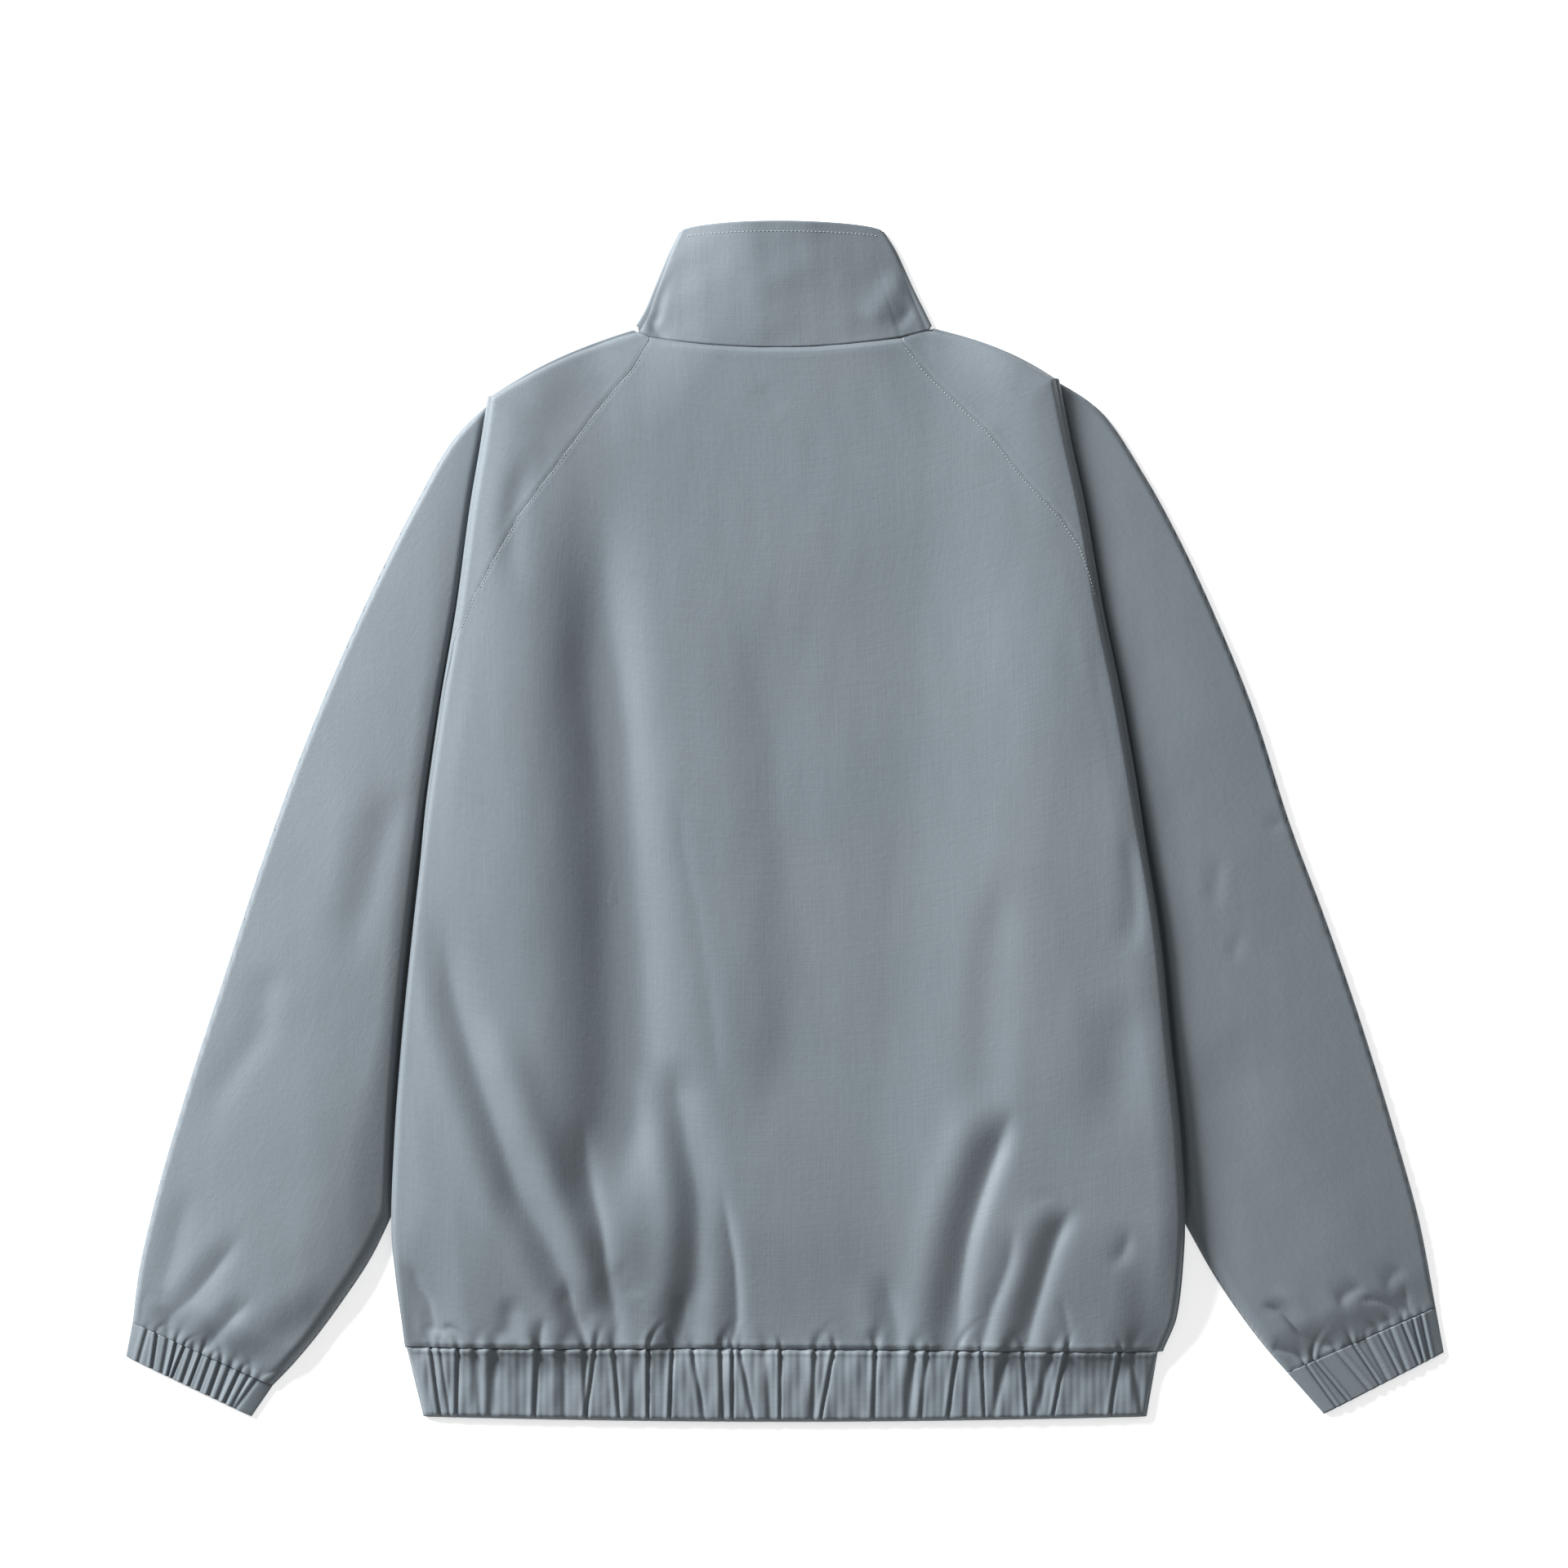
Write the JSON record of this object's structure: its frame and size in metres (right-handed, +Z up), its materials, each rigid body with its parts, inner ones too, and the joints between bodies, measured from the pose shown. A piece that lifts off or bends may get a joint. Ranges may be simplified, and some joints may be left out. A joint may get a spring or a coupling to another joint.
{
  "type": "track jacket",
  "caption": "Track jacket with raglan sleeves, stand collar, closed front zip and gathered hem and cuffs, laid flat on its front with its back uppermost.",
  "frame": {"origin": "Middle of the laid jacket in plan, on the surface that it lies on", "axes": "+Z is up, +Y runs from the hem to the collar, and -X points to the wearer's left sleeve"},
  "size_m": [0.8875, 0.8075, 0.0237],
  "materials": {
    "jacket_cloth": "plain-woven light cloth with a slight satin sheen, grey-blue",
    "zip_chain": "moulded zip chain on woven tape, dark grey",
    "zip_metal": "satin metal, dark"
  },
  "bodies": {
    "root": {"back": "jacket_cloth", "front_left": "jacket_cloth", "front_right": "jacket_cloth", "sleeve_left": "jacket_cloth", "sleeve_right": "jacket_cloth", "cuff_left": "jacket_cloth", "cuff_right": "jacket_cloth", "collar": "jacket_cloth", "hem_band": "jacket_cloth", "front_zip": "zip_chain", "zip_slider": "zip_metal"}
  },
  "joints": []
}
